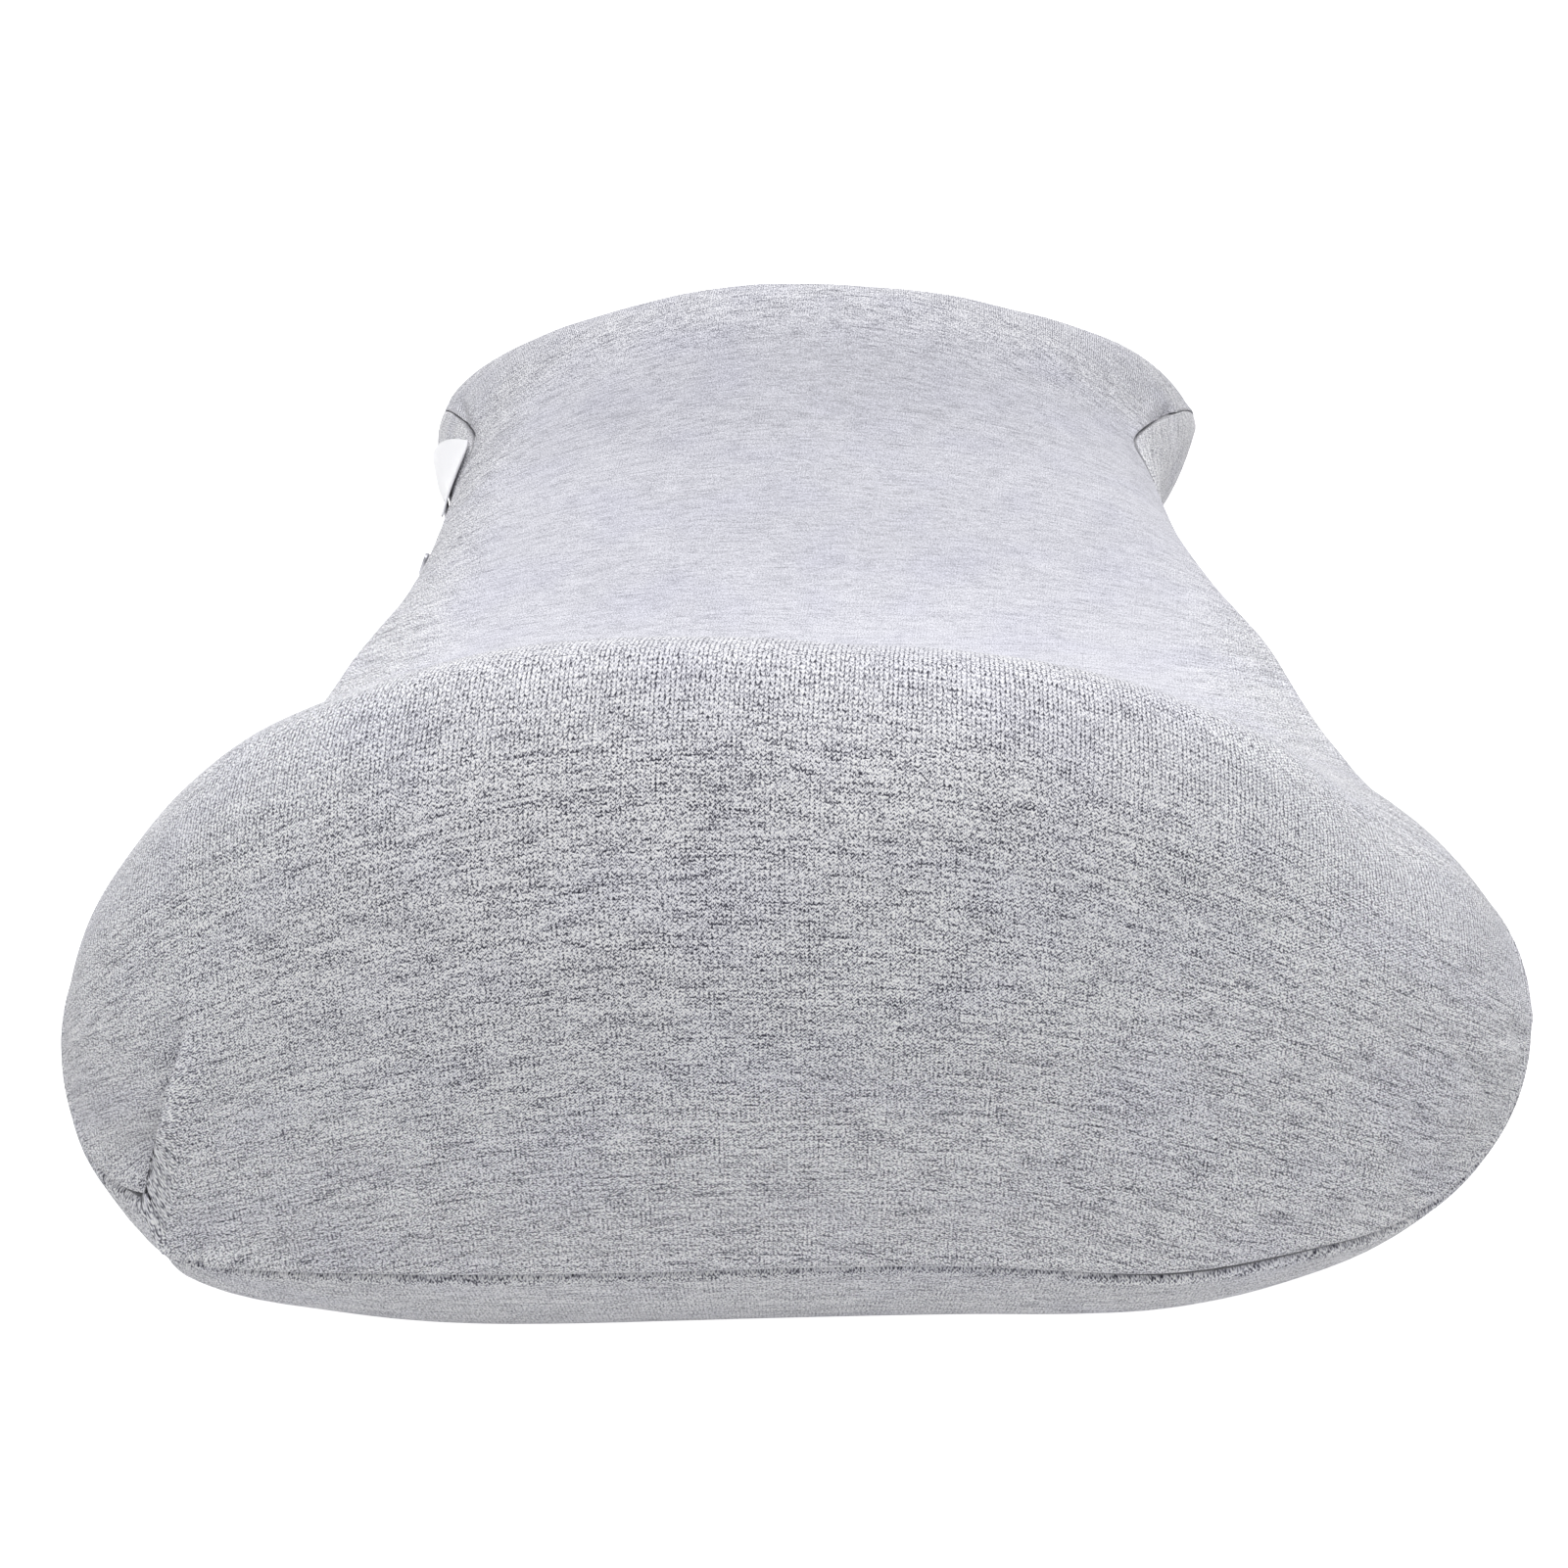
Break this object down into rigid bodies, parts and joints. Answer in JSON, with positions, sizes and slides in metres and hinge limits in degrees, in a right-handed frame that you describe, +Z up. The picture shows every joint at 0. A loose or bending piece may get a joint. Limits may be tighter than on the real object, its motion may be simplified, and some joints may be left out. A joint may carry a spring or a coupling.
{
  "type": "lumbar pillow",
  "caption": "Contoured lumbar pillow with an hourglass plan, a raised wing at each end and a low waist, in a knitted jersey cover with a base panel, blank care label and zip.",
  "frame": {"origin": "on the resting surface, at the middle of the rectangle that the pillow covers", "axes": "+Y lengthwise from the near wing to the far wing, +X across the pillow, +Z up out of the resting surface"},
  "size_m": [0.297, 0.34, 0.1307],
  "materials": {
    "crown_jersey": "matte heathered weft-knit jersey",
    "base_jersey": "matte heathered weft-knit jersey",
    "label_ribbon": "smooth satin ribbon",
    "zip_metal": "small cast tab"
  },
  "bodies": {
    "root": {"pillow_body": "crown_jersey", "base_panel": "base_jersey", "care_label": "label_ribbon", "zip_pull": "zip_metal"}
  },
  "joints": []
}
